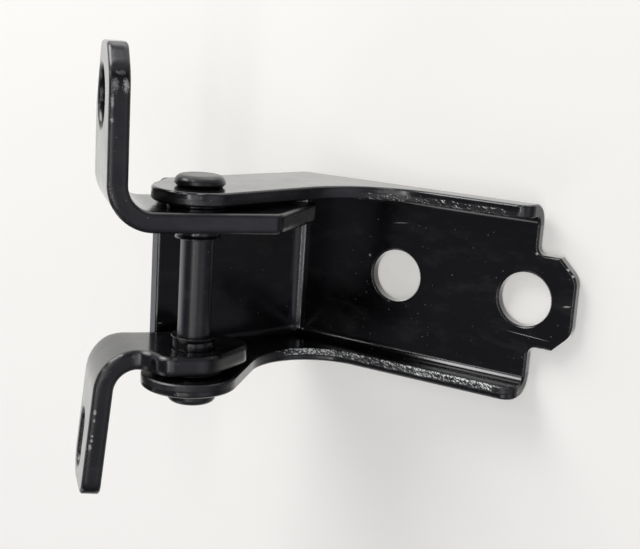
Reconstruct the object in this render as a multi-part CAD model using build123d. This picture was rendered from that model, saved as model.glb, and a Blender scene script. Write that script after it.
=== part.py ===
from build123d import *
import os
from math import acos, atan2, cos, radians, sin, sqrt

# Car door hinge: a folded channel with two ears, a riveted pin and two L-shaped brackets.
# Sizes are in millimetres and angles in degrees. The pieces are drawn about the pin, with X along
# the mounting plate and Y towards its mounting face, and are then moved so that the origin lies
# on the mounting face, midway between the two bolt holes.

# Channel, one folded sheet
sheet = 3.2
channel_height = 48.0      # over both flanges
bend_inside = 2.3          # inside radius of the folds between wall and flanges
elbow_angle = 109.0        # between mounting plate and web, on the inside
elbow_core = 1.7           # plan radius of the elbow where the folds run out into the flanges
face_to_axis = 50.6        # mounting face to pin axis
flange_depth = 10.6        # mounting face to the flanges' free edge
axis_to_bolt = 28.8        # pin axis to the nearer bolt hole, along the plate
bolt_pitch = 35.2
bolt_hole = 13.5           # diameter
flange_past_bolt = 2.1     # from the further bolt hole to the flanges' end
flange_corner = 3.5        # corner radius at the flanges' end
web_overrun = 0.5          # web ends this far beyond the point abreast of the pin

# Tab at the far end of the plate
tab_past_bolt = 12.6       # from the further bolt hole to the tab's end
tab_width = 23.0
tab_chamfer = 4.6
tab_round = 5.0            # between chamfer and end
tab_relief = 2.0           # inside corner between tab and flange end

# Ears
ear_radius = 11.2
ear_to_fold = 2.5          # round end of the ear to the web's fold
upper_ear_root = 21.7      # where the ear's straight side, carried on, meets the flange's edge
upper_ear_sweep = 25.0     # radius that joins the two
lower_ear_root = -2.0
lower_ear_sweep = 17.0
lower_ear_extra = 0.4      # lower ear's round end is larger by this
lower_ear_off = 0.7        # and stands off the pin axis by this, towards the brackets' arms

# Pin
pin_d = 8.0
head_d = 12.0
head_neck_d = 10.5         # head under its taper
head_taper = 0.8           # height of the taper
head_height = 2.8
head_round = 1.9
rivet_d = 11.6
rivet_height = 3.9
rivet_round = 1.1

# Bushes
pin_clearance = 0.05       # radial
sleeve_wall = 0.95
bush_flange_d = 14.8
bush_flange = 1.0          # thickness
bush_stand = 3.1           # sleeve past the far side of the tab
flare_d = 10.9             # opened end of the sleeve
flare_length = 1.0
upper_play = 0.1           # bush flange to ear
lower_play = 0.4

# Brackets, both
leaf_sheet = 4.6
leaf_rest = 47.3           # turn of the brackets about the pin as stored, against the web's end
leaf_reach = 22.7          # pin axis to the outside corner of the fold
leaf_bend_inside = 6.0
arm_hole = 14.6            # diameter
rest_gap = 0.5             # to the web's end as stored
swing_gap = 0.6            # to the web as the bracket turns

# Upper bracket
open_angle = 43.0          # turn that brings the stop edge of the nose against the web
upper_near = 12.8          # pin axis to the tab's near edge
nose_near = 16.5           # near edge runs this far past the pin axis
nose_length = 27.0         # stop edge, from abreast of the pin axis to its tip
nose_round = 3.0
nose_tip_round = 1.2
upper_arm = 41.0           # length of the arm from the outside of the fold
upper_arm_slope = 6.5      # height of the slope at the arm's near corner
upper_arm_near_top = 7.0   # from abreast of the pin axis to the top's near end
upper_arm_round = 4.0
upper_slope_round = 10.0   # at the slope's lower end
upper_hole_down = 12.5     # from the arm's top
upper_hole_far = 2.8       # from abreast of the pin axis
upper_eye_wall = 1.2       # between the hole and the slope at the arm's far corner
upper_far_slope = 30.0     # lean of that slope

# Lower bracket
lower_lean = 5.6           # arm leans outwards
lower_near = 9.4           # pin axis to the tab's near edge
lower_arm_near = 2.6       # pin axis to the arm's near edge
jog_outer = 11.6           # the near edge steps out between these two distances from the pin axis
jog_inner = 8.8
jog_round = 5.0
lower_tab_run = 3.0        # near edge runs this far past the pin axis
lower_tab_near_round = 8.0
lower_tab_turn = 11.0      # direction of the tab's end corner from the pin axis
lower_tab_round = 4.0
step_inner = 13.5          # the far edge steps out between these two distances from the pin axis
step_outer = 19.0
step_round = 3.0
lower_arm_round = 3.0      # near corner of the tip
lower_slot_width = 7.4     # upright slot, as long as the upper arm's hole is wide
lower_hole_up = 25.4
lower_hole_far = 9.9
lower_eye_wall = 3.4       # around the slot at the arm's round end

# Edges of the pressings
edge_break = 0.4
sharp_angle = 25.0         # faces that meet at more than this have an edge to break

# Derived places
bend_outside = bend_inside + sheet
half_out = channel_height / 2
half_in = half_out - sheet
web_to_axis = ear_radius + ear_to_fold + bend_inside
fold_to_axis = web_to_axis - bend_inside
far_bolt = axis_to_bolt + bolt_pitch
flange_end = far_bolt + flange_past_bolt
tab_end = far_bolt + tab_past_bolt
edge_y = face_to_axis - flange_depth
web_turn = radians(180 - elbow_angle)
along_web = Vector(cos(web_turn), sin(web_turn))
off_web = Vector(-sin(web_turn), cos(web_turn))
sleeve_r = pin_d / 2 + pin_clearance + sleeve_wall
leaf_bend_outside = leaf_bend_inside + leaf_sheet
swing_radius = web_to_axis - swing_gap
upper_tab_z = half_in - upper_play - bush_flange - leaf_sheet
lower_tab_z = -(half_in - lower_play - bush_flange - leaf_sheet)
web_end = off_web * web_to_axis - along_web * web_overrun
leaf_far = web_end.rotate(Axis.Z, -leaf_rest).Y - rest_gap
margin = channel_height    # trimming tools reach this far past what they trim


def outline(*points):
    """Flat face with straight sides between the points."""
    return make_face(Polyline(*points, close=True))


def rounded(face, radius, *corners):
    """Round the corners of a flat face that lie at the given points."""
    for corner in corners:
        face = fillet(face.vertices().sort_by_distance(Vector(*corner))[0], radius)
    return face


def tangent_point(point, centre, radius, side):
    """Where a line from the point touches a circle, on its left (1) or right (-1)."""
    out = point - centre
    turn = atan2(out.Y, out.X) + side * acos(radius / out.length)
    return centre + Vector(radius * cos(turn), radius * sin(turn))


def edges_broken(body):
    """Take the sharpness off every edge of a bracket, as tumbling and paint do."""
    sharp = ShapeList()
    for edge in body.edges():
        middle = edge @ 0.5
        meeting = [face for face in body.faces() if any(edge.is_same(side) for side in face.edges())]
        turn = meeting[0].normal_at(middle).get_angle(meeting[-1].normal_at(middle))
        if turn > sharp_angle:
            sharp.append(edge)
    return chamfer(sharp, edge_break)


def elbow(depth):
    """Corner between plate and web, at a depth below the sheet's outer face."""
    offset = off_web * (web_to_axis + sheet - depth)
    run = (face_to_axis - depth - offset.Y) / along_web.Y
    return offset + along_web * run


# Channel

def folded_wall():
    """Plate, elbow and web, with the two folds that turn into the flanges, as one swept section."""
    path = FilletPolyline(
        (flange_end, face_to_axis - sheet),
        elbow(sheet),
        web_end,
        radius=elbow_core + bend_inside,
    )
    outside = outline(
        (-bend_inside, -half_out), (sheet, -half_out), (sheet, half_out), (-bend_inside, half_out)
    )
    outside = rounded(outside, bend_outside, (sheet, -half_out), (sheet, half_out))
    inside = outline(
        (-bend_inside, -half_in), (0, -half_in), (0, half_in), (-bend_inside, half_in)
    )
    inside = rounded(inside, bend_inside, (0, -half_in), (0, half_in))
    start = Plane(origin=path @ 0, x_dir=(0, 1, 0), z_dir=path % 0)
    wall = sweep(start * (outside - inside), path)
    rims = ShapeList()
    for end in wall.faces().filter_by(lambda face: len(face.edges()) > 4):
        tips = end.edges().filter_by(Axis.Z).sort_by(SortBy.LENGTH)[:2]
        rims += [edge for edge in end.edges() if edge not in tips]
    return chamfer(rims, edge_break)


def flange(root, sweep_radius, ear_r, ear_off):
    """Flat of one flange, with its ear: from the fold to the free edge and round the pin."""
    ear = Vector(-ear_off, 0).rotate(Axis.Z, leaf_rest)
    fold_end = off_web * fold_to_axis - along_web * web_overrun
    ear_root = Vector(root, edge_y)
    fold_corner = elbow(bend_outside)
    fold_start = Vector(flange_end, face_to_axis - bend_outside)
    end_corner = Vector(flange_end, edge_y)
    plan = outline(
        fold_start,
        fold_corner,
        fold_end,
        tangent_point(fold_end, ear, ear_r, 1),
        ear,
        tangent_point(ear_root, ear, ear_r, -1),
        ear_root,
        end_corner,
    )
    plan = rounded(plan, elbow_core, fold_corner)
    plan = rounded(plan, sweep_radius, ear_root)
    plan = rounded(plan, flange_corner, end_corner)
    plate = extrude(plan + Pos(ear) * Circle(ear_r), sheet)
    fold = FilletPolyline(fold_start, fold_corner, fold_end, radius=elbow_core)
    free = ShapeList()
    for edge in plate.edges().filter_by(Axis.Z, reverse=True):
        middle = edge @ 0.5
        if fold.distance_to(Vector(middle.X, middle.Y)) > edge_break:
            free.append(edge)
    return chamfer(free, edge_break) - Cylinder(pin_d / 2, 4 * sheet)


def end_tab():
    """Plate's narrow end past the flanges, with chamfered corners."""
    half = tab_width / 2
    wall_half = half_out - bend_outside
    shoulder = tab_end - tab_chamfer
    end_half = half - tab_chamfer
    start = flange_end - tab_relief
    face = outline(
        (start, -wall_half), (flange_end, -wall_half), (flange_end, -half), (shoulder, -half),
        (tab_end, -end_half), (tab_end, end_half), (shoulder, half), (flange_end, half),
        (flange_end, wall_half), (start, wall_half),
    )
    face = rounded(face, tab_relief, (flange_end, -half), (flange_end, half))
    face = rounded(face, tab_round, (tab_end, -end_half), (tab_end, end_half))
    tab = extrude(Plane.XZ.offset(-face_to_axis) * face, sheet)
    free = tab.edges().filter_by(Axis.Y, reverse=True)
    free = free.filter_by_position(Axis.X, flange_end - edge_break, tab_end)
    return chamfer(free, edge_break)


def channel():
    """The whole folded sheet, with its bolt holes."""
    upper = Pos(Z=half_in) * flange(upper_ear_root, upper_ear_sweep, ear_radius, 0)
    lower_ear_r = ear_radius + lower_ear_extra
    lower = Pos(Z=-half_out) * flange(lower_ear_root, lower_ear_sweep, lower_ear_r, lower_ear_off)
    body = folded_wall() + upper + lower + end_tab()
    for x in (axis_to_bolt, far_bolt):
        hole = Pos(x, face_to_axis) * Rot(X=90) * Cylinder(bolt_hole / 2, 4 * sheet)
        body -= hole
    rims = body.edges().filter_by(GeomType.CIRCLE)
    rims = rims.filter_by(lambda edge: abs(edge.radius - bolt_hole / 2) < edge_break)
    return chamfer(rims, edge_break)


# Pin and bushes

def rounded_end(radius, end, size, up):
    """Points round the corner of a turned end, in four flats; up is 1 for the top, -1 for the bottom."""
    turns = [radians(90 * step / 4) for step in range(5)]
    return [(radius - size + size * cos(t), end - up * size + up * size * sin(t)) for t in turns]


def hinge_pin():
    """Turned pin with a button head above and a riveted end below."""
    shaft_r = pin_d / 2
    top = half_out + head_height
    bottom = -half_out - rivet_height
    head = rounded_end(head_d / 2, top, head_round, 1)
    rivet = rounded_end(rivet_d / 2, bottom, rivet_round, -1)
    profile = outline(
        (0, bottom), *reversed(rivet), (rivet_d / 2, -half_out), (shaft_r, -half_out),
        (shaft_r, half_out), (head_neck_d / 2, half_out), (head_d / 2, half_out + head_taper),
        *head, (0, top),
    )
    return revolve(Plane.XZ * profile, Axis.Z)


def bush():
    """Flanged bush: flange upwards from Z=0, sleeve down through the tab, opened at its end."""
    bore = pin_d / 2 + pin_clearance
    end = -leaf_sheet - bush_stand
    profile = outline(
        (bore, end), (flare_d / 2, end), (sleeve_r, end + flare_length), (sleeve_r, 0),
        (bush_flange_d / 2, 0), (bush_flange_d / 2, bush_flange), (bore, bush_flange),
    )
    return revolve(Plane.XZ * profile, Axis.Z)


# Brackets, drawn with the outside of the tab at Z=0 and the arm upwards on the -X side

def arm_plane(lean):
    """Outer face of an arm: X across it, Y along it from the outside corner of the fold."""
    turn = radians(lean)
    return Plane(origin=(-leaf_reach, 0, 0), x_dir=(0, 1, 0), z_dir=(cos(turn), 0, sin(turn)))


def folded_leaf(tab, arm, arm_length, lean):
    """L-shaped sheet, trimmed by the tab's outline in plan and by the arm's outline on its face."""
    turn = radians(lean)
    rise = Vector(-sin(turn), cos(turn)) * (arm_length + margin)
    inward = Vector(cos(turn), sin(turn)) * leaf_sheet
    corner_out = Vector(-leaf_reach, 0)
    step = leaf_sheet * (1 - sin(turn)) / cos(turn)
    corner_in = corner_out + inward + Vector(-sin(turn), cos(turn)) * step
    section = outline(
        (margin, 0), corner_out, corner_out + rise, corner_out + rise + inward, corner_in,
        (margin, leaf_sheet),
    )
    section = rounded(section, leaf_bend_outside, corner_out)
    section = rounded(section, leaf_bend_inside, corner_in)
    sheet_l = extrude(Plane.XZ * section, margin, both=True)
    in_plan = extrude(tab, 2 * margin, both=True)
    on_face = extrude(arm_plane(lean) * arm, 2 * margin, both=True)
    return sheet_l & in_plan & on_face


def pierced(leaf, lean, across, up, width):
    """Bolt hole or slot square through the arm, and the tab's hole for its bush."""
    hole = Circle(width / 2)
    if width < arm_hole:
        hole = SlotOverall(arm_hole, width, rotation=90)
    bolt = extrude(arm_plane(lean) * Pos(across, up) * hole, 2 * leaf_sheet, both=True)
    return edges_broken(leaf - bolt - Cylinder(sleeve_r, 4 * leaf_sheet))


def upper_bracket():
    """Bracket with an upright arm, and a nose whose far edge stops against the web."""
    stop = radians(180 - elbow_angle + 90 - leaf_rest - open_angle)
    across = Vector(cos(stop), sin(stop)) * swing_radius
    tip = across + Vector(sin(stop), -cos(stop)) * nose_length
    stop_start = Vector((swing_radius - leaf_far * sin(stop)) / cos(stop), leaf_far)
    near_corner = Vector(nose_near, -upper_near)
    tab = outline(
        (-margin, -upper_near), near_corner, tip, stop_start, (-margin, leaf_far)
    )
    tab = rounded(tab, nose_round, near_corner)
    tab = rounded(tab, nose_tip_round, tip)
    near_slope = Vector(-upper_near, upper_arm - upper_arm_slope)
    near_top = Vector(-upper_arm_near_top, upper_arm)
    lean = radians(upper_far_slope)
    upper_hole_up = upper_arm - upper_hole_down
    beside_hole = Vector(cos(lean), sin(lean)) * (arm_hole / 2 + upper_eye_wall)
    beside_hole += Vector(upper_hole_far, upper_hole_up)
    down_slope = Vector(sin(lean), -cos(lean))
    far_top = beside_hole + down_slope * ((beside_hole.Y - upper_arm) / cos(lean))
    past_slope = beside_hole + down_slope * upper_arm
    arm = outline(
        (-upper_near, -margin), near_slope, near_top, far_top, past_slope, (past_slope.X, -margin)
    )
    arm = rounded(arm, upper_slope_round, near_slope)
    arm = rounded(arm, upper_arm_round, near_top, far_top)
    leaf = folded_leaf(tab, arm, upper_arm, 0)
    return pierced(leaf, 0, upper_hole_far, upper_hole_up, arm_hole)


def lower_bracket():
    """Bracket with a round-ended arm, stepped in around the pin, its end clear of the web."""
    turn = radians(lower_tab_turn)
    eye_r = lower_slot_width / 2 + lower_eye_wall
    arm_far = lower_hole_far + eye_r
    arm_tip = lower_hole_up + arm_hole / 2 + lower_eye_wall
    end_corner = Vector(cos(turn), sin(turn)) * swing_radius
    far_corner = Vector(sqrt(swing_radius**2 - leaf_far**2), leaf_far)
    near_corner = Vector(lower_tab_run, -lower_near)
    jog_start = Vector(-jog_outer, -lower_arm_near)
    jog_end = Vector(-jog_inner, -lower_near)
    step_start = Vector(-step_inner, leaf_far)
    step_end = Vector(-step_outer, arm_far)
    tab = outline(
        (-margin, -lower_arm_near), jog_start, jog_end, near_corner, end_corner, far_corner,
        step_start, step_end, (-margin, arm_far),
    )
    tab = rounded(tab, jog_round, jog_start, jog_end)
    tab = rounded(tab, lower_tab_near_round, near_corner)
    tab = rounded(tab, lower_tab_round, end_corner, far_corner)
    tab = rounded(tab, step_round, step_start, step_end)
    near_tip = (-lower_arm_near, arm_tip)
    far_tip = (arm_far, arm_tip)
    arm = outline(
        (-margin, -margin), (-margin, leaf_bend_inside), (-lower_arm_near, leaf_bend_inside),
        near_tip, far_tip, (arm_far, -margin),
    )
    arm = rounded(arm, lower_arm_round, near_tip)
    arm = rounded(arm, eye_r, far_tip)
    leaf = folded_leaf(tab, arm, arm_tip, lower_lean)
    return pierced(leaf, lower_lean, lower_hole_far, lower_hole_up, lower_slot_width)


# Assembly

pin_axis = Pos(-(axis_to_bolt + bolt_pitch / 2), -face_to_axis)
upper_place = pin_axis * Pos(Z=upper_tab_z) * Rot(Z=leaf_rest)
lower_place = pin_axis * Pos(Z=lower_tab_z) * Rot(Z=leaf_rest)
bush_seat = Pos(Z=leaf_sheet)

nodes = {
    "channel": pin_axis * channel(),
    "hinge_pin": pin_axis * hinge_pin(),
    "upper_bracket": upper_place * upper_bracket(),
    "upper_bush": upper_place * bush_seat * bush(),
    "lower_bracket": lower_place * mirror(lower_bracket(), Plane.XY),
    "lower_bush": lower_place * mirror(bush_seat * bush(), Plane.XY),
}

os.makedirs("parts", exist_ok=True)
for name, solid in nodes.items():
    export_step(solid, f"parts/{name}.step")
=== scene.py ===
from math import atan2, hypot, radians

import bmesh
import bpy
from mathutils import Matrix, Vector

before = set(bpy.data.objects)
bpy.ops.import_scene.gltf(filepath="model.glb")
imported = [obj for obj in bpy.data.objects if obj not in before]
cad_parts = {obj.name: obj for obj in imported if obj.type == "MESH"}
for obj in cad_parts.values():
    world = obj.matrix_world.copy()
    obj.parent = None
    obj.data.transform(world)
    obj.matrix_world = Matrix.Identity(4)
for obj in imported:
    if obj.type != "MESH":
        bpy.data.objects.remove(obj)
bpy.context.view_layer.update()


# Channel
# One folded and pierced sheet-steel pressing, dipped whole in black electro-coat paint.
# Plate, elbow, web, flanges and ears are one sheet. Under the film the sheared edges of the flanges
# keep a torn band on the side where the punch came through.

def linear(colour):
    """An sRGB hex colour as linear red, green, blue and alpha."""
    parts = [int(colour[i:i + 2], 16) / 255 for i in (1, 3, 5)]
    return [p / 12.92 if p <= 0.04045 else ((p + 0.055) / 1.055) ** 2.4 for p in parts] + [1.0]


def add(tree, kind, settings=None, **inputs):
    """Add a node. An input is named for its socket, or i0, i1 for its place; it is a value or an output."""
    made = tree.nodes.new("ShaderNode" + kind)
    for name, value in (settings or {}).items():
        setattr(made, name, value)
    for name, value in inputs.items():
        place = int(name[1:]) if name[1:].isdigit() else name.replace("_", " ")
        if isinstance(value, bpy.types.NodeSocket):
            tree.links.new(value, made.inputs[place])
        else:
            made.inputs[place].default_value = value
    return made


def dress(piece, material):
    """Give a CAD node its finish."""
    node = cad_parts[piece]
    node.data.materials.clear()
    node.data.materials.append(material)


# Cathodic electro-coat on steel: a thin black film, satin to glossy, that flows over the sheet's own
# fine waviness and draws round its edges. At a low angle it mirrors like lacquer, and face on
# it is nearly black.

def black_e_coat(name, edge_round=0.0005, dull=0.0, chips_and_sheens=(), scratches=(), cut_edges=None):
    """The film with its dust, drawn round edges, and a piece's own chips, painted highlights, scratches and
    cut edges.
    """
    material = bpy.data.materials.new(name)
    material.use_nodes = True
    tree = material.node_tree
    film = tree.nodes["Principled BSDF"]
    film.inputs["IOR"].default_value = 1.55
    place = add(tree, "TexCoord")
    mm = add(
        tree, "VectorMath", {"operation": "SCALE"}, i0=place.outputs["Object"], Scale=1000.0,
    ).outputs[0]

    # Film: long smears in the gloss, the sheet's slow waves, a fine orange peel, and edges drawn round
    smear_length = 12
    clean_rough = 0.13 + dull
    smeared_rough = 0.21 + dull
    wave_length = 7
    peel_size = 1.6
    smear = add(
        tree, "TexNoise", Vector=mm, Scale=1 / smear_length, Detail=4.0, Roughness=0.6,
    ).outputs["Fac"]
    gloss = add(
        tree, "MapRange", Value=smear, From_Min=0.3, From_Max=0.7, To_Min=clean_rough, To_Max=smeared_rough,
    ).outputs[0]
    peel = add(tree, "TexNoise", Vector=mm, Scale=1 / peel_size, Detail=2.0).outputs["Fac"]
    waves = add(tree, "TexNoise", Vector=mm, Scale=1 / wave_length, Detail=1.0).outputs["Fac"]
    drawn_round = add(tree, "Bevel", {"samples": 12}, Radius=edge_round).outputs["Normal"]

    # Dust: faint streaks left by wiping, and grains of about 0.2 mm, each of its own brightness
    streak_length = 9
    streak_width = 4
    streak_strength = 0.024
    grain_spacing = 1.7
    grain_strength = 0.6
    along = add(
        tree, "VectorMath", {"operation": "MULTIPLY"}, i0=mm,
        i1=(1 / streak_length, 1 / streak_length, 1 / streak_width),
    ).outputs[0]
    wiped = add(tree, "TexNoise", Vector=along, Scale=1.0, Detail=4.0, Roughness=0.65).outputs["Fac"]
    hazy = add(
        tree, "MapRange", Value=wiped, From_Min=0.5, From_Max=0.75, To_Min=0.0, To_Max=streak_strength,
    ).outputs[0]
    grains = add(tree, "TexVoronoi", Vector=mm, Scale=1 / grain_spacing)
    lot = add(tree, "SeparateColor", Color=grains.outputs["Color"]).outputs[0]
    bright = add(
        tree, "MapRange", Value=lot, From_Min=0.5, From_Max=1.0, To_Min=0.0, To_Max=grain_strength,
    ).outputs[0]
    near = add(
        tree, "MapRange", Value=grains.outputs["Distance"], From_Min=0.03, From_Max=0.10,
        To_Min=1.0, To_Max=0.0,
    ).outputs[0]
    wear_and_sheen = add(tree, "Math", {"operation": "MULTIPLY_ADD"}, i0=bright, i1=near, i2=hazy).outputs[0]

    # Chips, and painted highlights of light off dents: each of its own width, height, raggedness and
    # strength, torn on a fine grain
    chip_grain = 0.45
    ragged = add(
        tree, "TexNoise", Vector=mm, Scale=1 / chip_grain, Detail=3.0, Roughness=0.7,
    ).outputs["Fac"]
    for centre, width, height, rags, share in chips_and_sheens:
        off = add(tree, "VectorMath", {"operation": "SUBTRACT"}, i0=mm, i1=centre).outputs[0]
        sized = add(
            tree, "VectorMath", {"operation": "MULTIPLY"}, i0=off, i1=(2 / width, 2 / width, 2 / height),
        ).outputs[0]
        reach = add(tree, "VectorMath", {"operation": "LENGTH"}, i0=sized).outputs["Value"]
        torn = add(tree, "Math", {"operation": "MULTIPLY_ADD"}, i0=ragged, i1=rags, i2=reach).outputs[0]
        spot = add(
            tree, "MapRange", Value=torn, From_Min=0.5 * rags + 0.4, From_Max=0.5 * rags + 0.95,
            To_Min=share, To_Max=0.0,
        ).outputs[0]
        wear_and_sheen = add(tree, "Math", {"operation": "MAXIMUM"}, i0=wear_and_sheen, i1=spot).outputs[0]

    # Scratches: fine lines on an upright face, each turned to lie along X
    scratch_strength = 0.5
    for (x0, z0), (x1, z1), y, width in scratches:
        middle = ((x0 + x1) / 2, y, (z0 + z1) / 2)
        laid = add(
            tree, "VectorRotate", {"rotation_type": "Y_AXIS"}, Vector=mm, Center=middle,
            Angle=atan2(z1 - z0, x1 - x0),
        ).outputs[0]
        off = add(tree, "VectorMath", {"operation": "SUBTRACT"}, i0=laid, i1=middle).outputs[0]
        sized = add(
            tree, "VectorMath", {"operation": "MULTIPLY"}, i0=off,
            i1=(2 / hypot(x1 - x0, z1 - z0), 1 / width, 1 / width),
        ).outputs[0]
        reach = add(tree, "VectorMath", {"operation": "LENGTH"}, i0=sized).outputs["Value"]
        line = add(
            tree, "MapRange", Value=reach, From_Min=0.5, From_Max=1.0, To_Min=scratch_strength, To_Max=0.0,
        ).outputs[0]
        wear_and_sheen = add(tree, "Math", {"operation": "MAXIMUM"}, i0=wear_and_sheen, i1=line).outputs[0]

    # Worn spots and painted highlights are pale and dull. The relief is in millimetres
    film_black = linear("#070709")
    worn_and_sheen_grey = linear("#B9B9B4")
    worn_rough = 0.3
    peel_depth = 0.0025
    wave_depth = 0.05
    colour = add(tree, "Mix", {"data_type": "RGBA"}, i0=wear_and_sheen, i6=film_black, i7=worn_and_sheen_grey).outputs[2]
    rough = add(tree, "Math", {"operation": "MULTIPLY_ADD"}, i0=wear_and_sheen, i1=worn_rough, i2=gloss).outputs[0]
    relief = add(tree, "Math", {"operation": "MULTIPLY"}, i0=peel, i1=peel_depth).outputs[0]
    relief = add(tree, "Math", {"operation": "MULTIPLY_ADD"}, i0=waves, i1=wave_depth, i2=relief).outputs[0]

    # Cut edges: painted grey reflection of the table in the plate's cut walls, and a torn band of slanting
    # crystals with painted glints.
    # Real crystals are much finer, and are drawn this coarse so that they show
    if cut_edges:
        table_reflection_grey = linear("#6A6862")
        painted_glint_white = linear("#E0E3DD")
        crystal_length = 0.8
        crystal_width = 0.3
        crystal_slant = -0.6
        torn_rough = 0.2
        torn_depth = 0.12
        painted_reflection, band = cut_edges(tree, mm, place.outputs["Normal"])
        colour = add(tree, "Mix", {"data_type": "RGBA"}, i0=painted_reflection, i6=colour, i7=table_reflection_grey).outputs[2]
        slant = add(
            tree, "VectorRotate", {"rotation_type": "Y_AXIS"}, Vector=mm, Angle=crystal_slant,
        ).outputs[0]
        grain = add(
            tree, "VectorMath", {"operation": "MULTIPLY"}, i0=slant,
            i1=(1 / crystal_length, 1 / crystal_length, 1 / crystal_width),
        ).outputs[0]
        crystals = add(tree, "TexNoise", Vector=grain, Scale=1.0, Detail=2.0, Roughness=0.6).outputs["Fac"]
        jagged = add(tree, "Math", {"operation": "MULTIPLY"}, i0=band, i1=crystals).outputs[0]
        # Pale colour painted where the torn crystals would glint: painted highlights, not bare steel
        glint = add(
            tree, "MapRange", Value=jagged, From_Min=0.52, From_Max=0.66, To_Min=0.0, To_Max=1.0,
        ).outputs[0]
        colour = add(tree, "Mix", {"data_type": "RGBA"}, i0=glint, i6=colour, i7=painted_glint_white).outputs[2]
        rough = add(
            tree, "Math", {"operation": "MULTIPLY_ADD"}, i0=band, i1=torn_rough, i2=rough,
        ).outputs[0]
        relief = add(
            tree, "Math", {"operation": "MULTIPLY_ADD"}, i0=jagged, i1=torn_depth, i2=relief,
        ).outputs[0]

    bump = add(tree, "Bump", Height=relief, Strength=1.0, Distance=0.001, Normal=drawn_round)
    tree.links.new(colour, film.inputs["Base Color"])
    tree.links.new(rough, film.inputs["Roughness"])
    tree.links.new(bump.outputs["Normal"], film.inputs["Normal"])
    return material


plate_face = -3.2


def channel_edges(tree, mm, normal):
    """Painted reflection of the table in the plate's holes and round its tab, and the torn band along the
    flanges' free edges.
    """
    plate_start = -26.0
    below_bends = 18.4
    at = add(tree, "SeparateXYZ", Vector=mm)
    faces = add(tree, "SeparateXYZ", Vector=normal)
    height = add(tree, "Math", {"operation": "ABSOLUTE"}, i0=at.outputs["Z"]).outputs[0]
    sideways = add(tree, "Math", {"operation": "ABSOLUTE"}, i0=faces.outputs["Y"]).outputs[0]
    # The plate's hole walls and tab edges, where the table's reflection is painted in grey
    painted_reflection = add(tree, "Math", {"operation": "LESS_THAN"}, i0=sideways, i1=0.5).outputs[0]
    for kind, value, limit in (
        ("GREATER_THAN", at.outputs["X"], plate_start),
        ("GREATER_THAN", at.outputs["Y"], plate_face - 0.1),
        ("LESS_THAN", height, below_bends),
    ):
        within = add(tree, "Math", {"operation": kind}, i0=value, i1=limit).outputs[0]
        painted_reflection = add(tree, "Math", {"operation": "MULTIPLY"}, i0=painted_reflection, i1=within).outputs[0]

    # The band lies on the inner half of the cut, has a wavy outer limit, and its painted glints are densest
    # along two borders
    flange_inside = 20.7
    first_border = 21.05
    half_band = 0.7
    wander_length = 4
    wander_depth = 1.4
    upright = add(tree, "Math", {"operation": "ABSOLUTE"}, i0=faces.outputs["Z"]).outputs[0]
    band = add(tree, "Math", {"operation": "LESS_THAN"}, i0=upright, i1=0.8).outputs[0]
    front = add(tree, "Math", {"operation": "LESS_THAN"}, i0=faces.outputs["Y"], i1=0.2).outputs[0]
    flange = add(tree, "Math", {"operation": "GREATER_THAN"}, i0=height, i1=flange_inside).outputs[0]
    wander = add(tree, "TexNoise", Vector=mm, Scale=1 / wander_length, Detail=3.0).outputs["Fac"]
    deep = add(
        tree, "Math", {"operation": "MULTIPLY_ADD"}, i0=wander, i1=wander_depth, i2=height,
    ).outputs[0]
    inner = add(
        tree, "MapRange", Value=deep, From_Min=23.0, From_Max=23.4, To_Min=1.0, To_Max=0.0,
    ).outputs[0]
    from_first = add(tree, "Math", {"operation": "SUBTRACT"}, i0=height, i1=first_border).outputs[0]
    from_border = add(tree, "Math", {"operation": "PINGPONG"}, i0=from_first, i1=half_band).outputs[0]
    borders = add(
        tree, "MapRange", Value=from_border, From_Min=0.05, From_Max=0.35, To_Min=1.10, To_Max=0.96,
    ).outputs[0]
    patch_length = 7
    patches = add(tree, "TexNoise", Vector=mm, Scale=1 / patch_length, Detail=1.0).outputs["Fac"]
    dense = add(
        tree, "MapRange", Value=patches, From_Min=0.35, From_Max=0.65, To_Min=0.96, To_Max=1.06,
    ).outputs[0]

    # Strongest where the lower flange's sweep ends, fainter on the upper flange, and none on the ears
    lower = add(
        tree, "MapRange", Value=at.outputs["Z"], From_Min=-1.0, From_Max=1.0, To_Min=1.0, To_Max=0.86,
    ).outputs[0]
    start = add(
        tree, "MapRange", Value=at.outputs["Y"], From_Min=-24.0, From_Max=-14.5, To_Min=0.66, To_Max=1.16,
    ).outputs[0]
    on = add(
        tree, "MapRange", Value=at.outputs["X"], From_Min=-34.0, From_Max=-29.0, To_Min=1.0, To_Max=0.88,
    ).outputs[0]
    end = add(
        tree, "MapRange", Value=at.outputs["X"], From_Min=13.5, From_Max=17.0, To_Min=1.0, To_Max=0.6,
    ).outputs[0]
    for share in (front, flange, inner, borders, dense, lower, start, on, end):
        band = add(tree, "Math", {"operation": "MULTIPLY"}, i0=band, i1=share).outputs[0]
    return painted_reflection, band


# A chip, or a painted highlight, is its centre, width and height in mm, raggedness and strength.
# A scratch is its two ends in X and Z, the face's Y and its width, all in mm.
channel_finish = black_e_coat(
    "black_e_coat_channel",
    chips_and_sheens=[
        ((-25.6, plate_face, 4.2), 0.8, 0.6, 2.0, 0.8),
        ((19.7, plate_face, 11.7), 1.0, 1.0, 2.0, 0.8),
        ((29.1, -3.0, 7.6), 1.0, 0.8, 2.0, 0.8),
        ((27.7, -3.0, 9.0), 1.0, 0.7, 2.0, 0.8),
        ((23.9, -3.0, -11.4), 0.8, 0.8, 2.0, 0.6),
        ((-61.3, -44.8, -12.9), 1.6, 0.5, 1.0, 0.6),
    ],
    scratches=[
        ((13.5, -8.5), (25.5, -9.2), plate_face, 0.12),
        ((27.3, -0.1), (29.6, 0.3), plate_face, 0.26),
        ((-19.9, 13.6), (-14.8, 14.3), plate_face, 0.14),
    ],
    cut_edges=channel_edges,
)
dress("channel", channel_finish)


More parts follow.
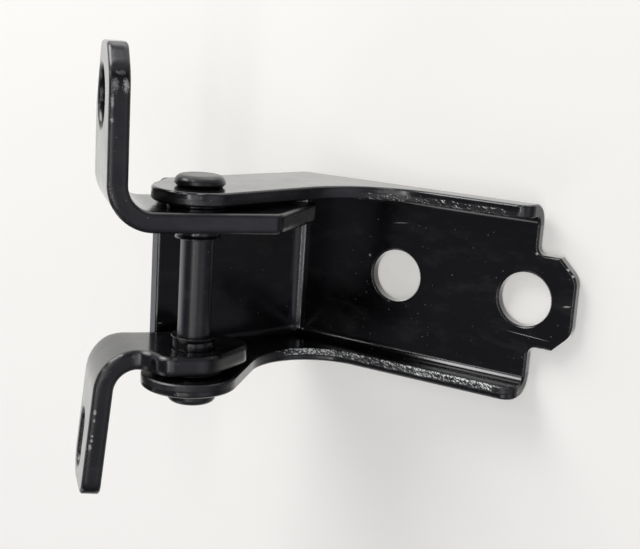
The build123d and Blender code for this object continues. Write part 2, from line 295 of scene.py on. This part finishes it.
# Hinge pin
# Headed steel pin, turned, riveted over under the lower ear and dipped with the channel.
# It is tight in the ears, and the two brackets turn about it on their bushes.

# The same film over turned steel, where it dries duller: soft sheens along the shaft.
pin_finish = black_e_coat("black_e_coat_pin", dull=0.14)
dress("hinge_pin", pin_finish)


# Upper bracket
# L-shaped pressing of thicker steel sheet, with a stop nose on its tab and an upright arm.
# It is painted like the channel and chipped along the arm's near edge where it was knocked, with pale
# highlights painted on for light off dents in the arm's face.

# The same film, drawn further round this thicker sheet's edges, which gives wider, softer highlights.
upper_finish = black_e_coat(
    "black_e_coat_upper_bracket",
    edge_round=0.0017,
    chips_and_sheens=[
        # The first three are painted highlights, light off dents in the arm's face; the last two are chips
        ((-51.5, -75.0, 47.3), 1.5, 4.4, 2.2, 0.35),
        ((-49.9, -73.3, 47.2), 1.7, 4.0, 2.2, 0.7),
        ((-50.7, -74.2, 49.8), 3.4, 1.4, 2.2, 0.2),
        ((-51.9, -75.4, 43.6), 0.8, 3.6, 1.4, 0.6),
        ((-51.9, -75.4, 39.7), 0.8, 1.4, 2.0, 0.8),
    ],
)
dress("upper_bracket", upper_finish)


# Lower bracket
# The second L-shaped pressing of thicker steel sheet. Its arm hangs down, with a round end
# about an upright slot. It is painted like the other, and chipped in a row along the arm's near edge.

# The same film. This pressing's edges are the softest, and their highlights the widest.
lower_finish = black_e_coat(
    "black_e_coat_lower_bracket",
    edge_round=0.0022,
    chips_and_sheens=[
        ((-60.2, -69.4, -29.6), 0.8, 1.7, 2.0, 0.8),
        ((-60.3, -69.5, -31.6), 0.7, 1.0, 2.0, 0.8),
        ((-60.5, -69.8, -35.4), 0.7, 0.7, 2.0, 0.8),
        ((-60.6, -69.9, -36.6), 0.8, 1.2, 2.0, 0.8),
        ((-60.9, -70.1, -38.2), 0.9, 1.9, 2.0, 0.8),
    ],
)
dress("lower_bracket", lower_finish)


# Bushes
# Flanged steel bearing bushes, pressed into the brackets' tabs and painted over with them.
# Each turns with its bracket on the pin, and its flange keeps the tab off the ear.

# The same film, as glossy as on the channel, with small tight highlights on the thin flanges.
bush_finish = black_e_coat("black_e_coat_bushes")
dress("upper_bush", bush_finish)
dress("lower_bush", bush_finish)


# Table
# The hinge lies with its mounting face on a plain white table. From below the table is clear, so that
# the mounting face can be looked at too. The hinge doesn't mirror it, and it throws no shadow on the hinge.

table_gap = 0.0004
table_half = 1.5
grid = bmesh.new()
flat = Matrix.Translation((0.0, table_gap, 0.0)) @ Matrix.Rotation(radians(90), 4, "X")
bmesh.ops.create_grid(grid, x_segments=1, y_segments=1, size=table_half, matrix=flat)
top = bpy.data.meshes.new("table")
grid.to_mesh(top)
grid.free()
table = bpy.data.objects.new("table", top)
bpy.context.scene.collection.objects.link(table)
table.visible_diffuse = False
table.visible_glossy = False
table.visible_shadow = False

# White laminate: matt and even, seen from above alone. Its faint glow stands for light from the room,
# which keeps the hinge's shadow soft.

white_top = bpy.data.materials.new("white_laminate")
white_top.use_nodes = True
tree = white_top.node_tree
laminate = tree.nodes["Principled BSDF"]
laminate.inputs["Base Color"].default_value = linear("#C2C0BC")
laminate.inputs["Roughness"].default_value = 0.6
laminate.inputs["Emission Color"].default_value = linear("#F4F2EE")
laminate.inputs["Emission Strength"].default_value = 0.38
side = add(tree, "NewGeometry")
clear = add(tree, "BsdfTransparent")
one_sided = add(
    tree, "MixShader", Fac=side.outputs["Backfacing"],
    i1=laminate.outputs["BSDF"], i2=clear.outputs["BSDF"],
)
tree.links.new(one_sided.outputs["Shader"], tree.nodes["Material Output"].inputs["Surface"])
top.materials.append(white_top)


# Light
# The room that the film mirrors: white on the table's side and brighter at its left, dim on the camera's
# side, with pale walls at the right, at the left and overhead. The camera itself sees a plain
# pale backdrop.

world = bpy.data.worlds.new("studio")
bpy.context.scene.world = world
world.use_nodes = True
tree = world.node_tree
direction = add(tree, "TexCoord").outputs["Generated"]
across = add(tree, "SeparateXYZ", Vector=direction)

# From 0 in the room to 1 on the table's side, which is whiter at its left
to_table = add(tree, "VectorMath", {"operation": "DOT_PRODUCT"}, i0=direction, i1=(-0.35, 0.93, 0.0))
table_side = add(
    tree, "MapRange", {"interpolation_type": "SMOOTHSTEP"}, Value=to_table.outputs["Value"],
    From_Min=-0.15, From_Max=0.6, To_Min=0.0, To_Max=1.0,
).outputs["Result"]
table_level = add(
    tree, "MapRange", Value=across.outputs["X"], From_Min=0.1, From_Max=0.45, To_Min=1.2, To_Max=0.5,
)

# Dim room with a pale wall at the right, which grows paler to its far end
to_right = add(tree, "VectorMath", {"operation": "DOT_PRODUCT"}, i0=direction, i1=(0.85, -0.5, -0.17))
right_wall = add(
    tree, "MapRange", Value=across.outputs["X"], From_Min=0.78, From_Max=0.87, To_Min=0.52, To_Max=0.95,
)
room_level = add(
    tree, "MapRange", Value=to_right.outputs["Value"], From_Min=0.75, From_Max=0.97, To_Min=0.2,
    To_Max=right_wall.outputs["Result"],
)
level = add(
    tree, "MapRange", Value=table_side, To_Min=room_level.outputs["Result"],
    To_Max=table_level.outputs["Result"],
)

# Overhead, brighter towards the table, and a pale wall at the left
overhead_level = add(
    tree, "MapRange", Value=across.outputs["Y"], From_Min=0.05, From_Max=0.35, To_Min=0.5, To_Max=2.4,
)
overhead = add(
    tree, "MapRange", Value=across.outputs["Z"], From_Min=0.65, From_Max=0.9, To_Min=0.0,
    To_Max=overhead_level.outputs["Result"],
)
to_left = add(tree, "VectorMath", {"operation": "DOT_PRODUCT"}, i0=direction, i1=(-0.94, -0.27, -0.21))
left_wall = add(
    tree, "MapRange", Value=to_left.outputs["Value"], From_Min=0.9, From_Max=0.98, To_Min=0.0, To_Max=1.5,
)
walls = add(
    tree, "Math", {"operation": "ADD"}, i0=left_wall.outputs["Result"], i1=overhead.outputs["Result"],
)
total = add(tree, "Math", {"operation": "ADD"}, i0=level.outputs["Result"], i1=walls.outputs["Value"])
tint = add(
    tree, "Mix", {"data_type": "RGBA"}, i0=table_side, i6=linear("#E2E3F0"), i7=linear("#F6F5F2"),
)
tree.links.new(total.outputs["Value"], tree.nodes["Background"].inputs["Strength"])
tree.links.new(tint.outputs[2], tree.nodes["Background"].inputs["Color"])

# Plain backdrop for the camera's own rays
backdrop = add(tree, "Background", Color=linear("#F2F1EE"), Strength=0.95)
rays = add(tree, "LightPath")
around = add(
    tree, "MixShader", Fac=rays.outputs["Is Camera Ray"],
    i1=tree.nodes["Background"].outputs["Background"], i2=backdrop.outputs["Background"],
)
tree.links.new(around.outputs["Shader"], tree.nodes["World Output"].inputs["Surface"])

# Lamps, each with its place, watts, width and height: a softbox above throws the main light, and the others
# are small pale things that the film mirrors as highlights along bends and edges
for name, at, watts, width, height in (
    ("softbox", (-0.45, -0.42, 0.75), 9.0, 0.6, 0.45),
    ("window", (0.15, -0.98, 0.05), 1.4, 0.06, 0.8),
    ("side_window", (-0.50, -0.77, 0.40), 1.0, 0.5, 0.1),
    ("bulb", (0.56, -0.79, -0.20), 0.2, 0.07, 0.07),
    ("ceiling_light", (0.09, -0.20, 0.97), 0.6, 0.15, 0.15),
    ("ceiling", (0.36, -0.93, 0.0), 1.3, 0.35, 0.9),
    ("wall", (-0.49, -0.51, -0.71), 1.2, 0.5, 0.3),
):
    lamp = bpy.data.lights.new(name, "AREA")
    lamp.energy = watts
    lamp.shape = "RECTANGLE"
    lamp.size = width
    lamp.size_y = height
    stand = bpy.data.objects.new(name, lamp)
    bpy.context.scene.collection.objects.link(stand)
    stand.location = at
    stand.rotation_mode = "QUATERNION"
    stand.rotation_quaternion = (-stand.location).to_track_quat("-Z", "Y")


# Camera
# At the photograph's viewing angle, found from the hinge's own edges and holes.
# It stands about 0.3 m off, with a view 31 degrees wide and no shift.

look = Vector((-0.492, 0.844, -0.215)).normalized()
right = Vector((0.855, 0.514, 0.063))
right = (right - look * right.dot(look)).normalized()
stands_at = (0.1120, -0.2645, 0.0631)
eye = bpy.data.cameras.new("camera")
eye.sensor_width = 36.0
eye.lens = 64.7
eye.clip_start = 0.01
camera = bpy.data.objects.new("camera", eye)
bpy.context.scene.collection.objects.link(camera)
camera.matrix_world = (
    Matrix.Translation(stands_at) @ Matrix((right, right.cross(look), -look)).transposed().to_4x4()
)
bpy.context.scene.camera = camera
bpy.context.scene.view_settings.view_transform = "Standard"
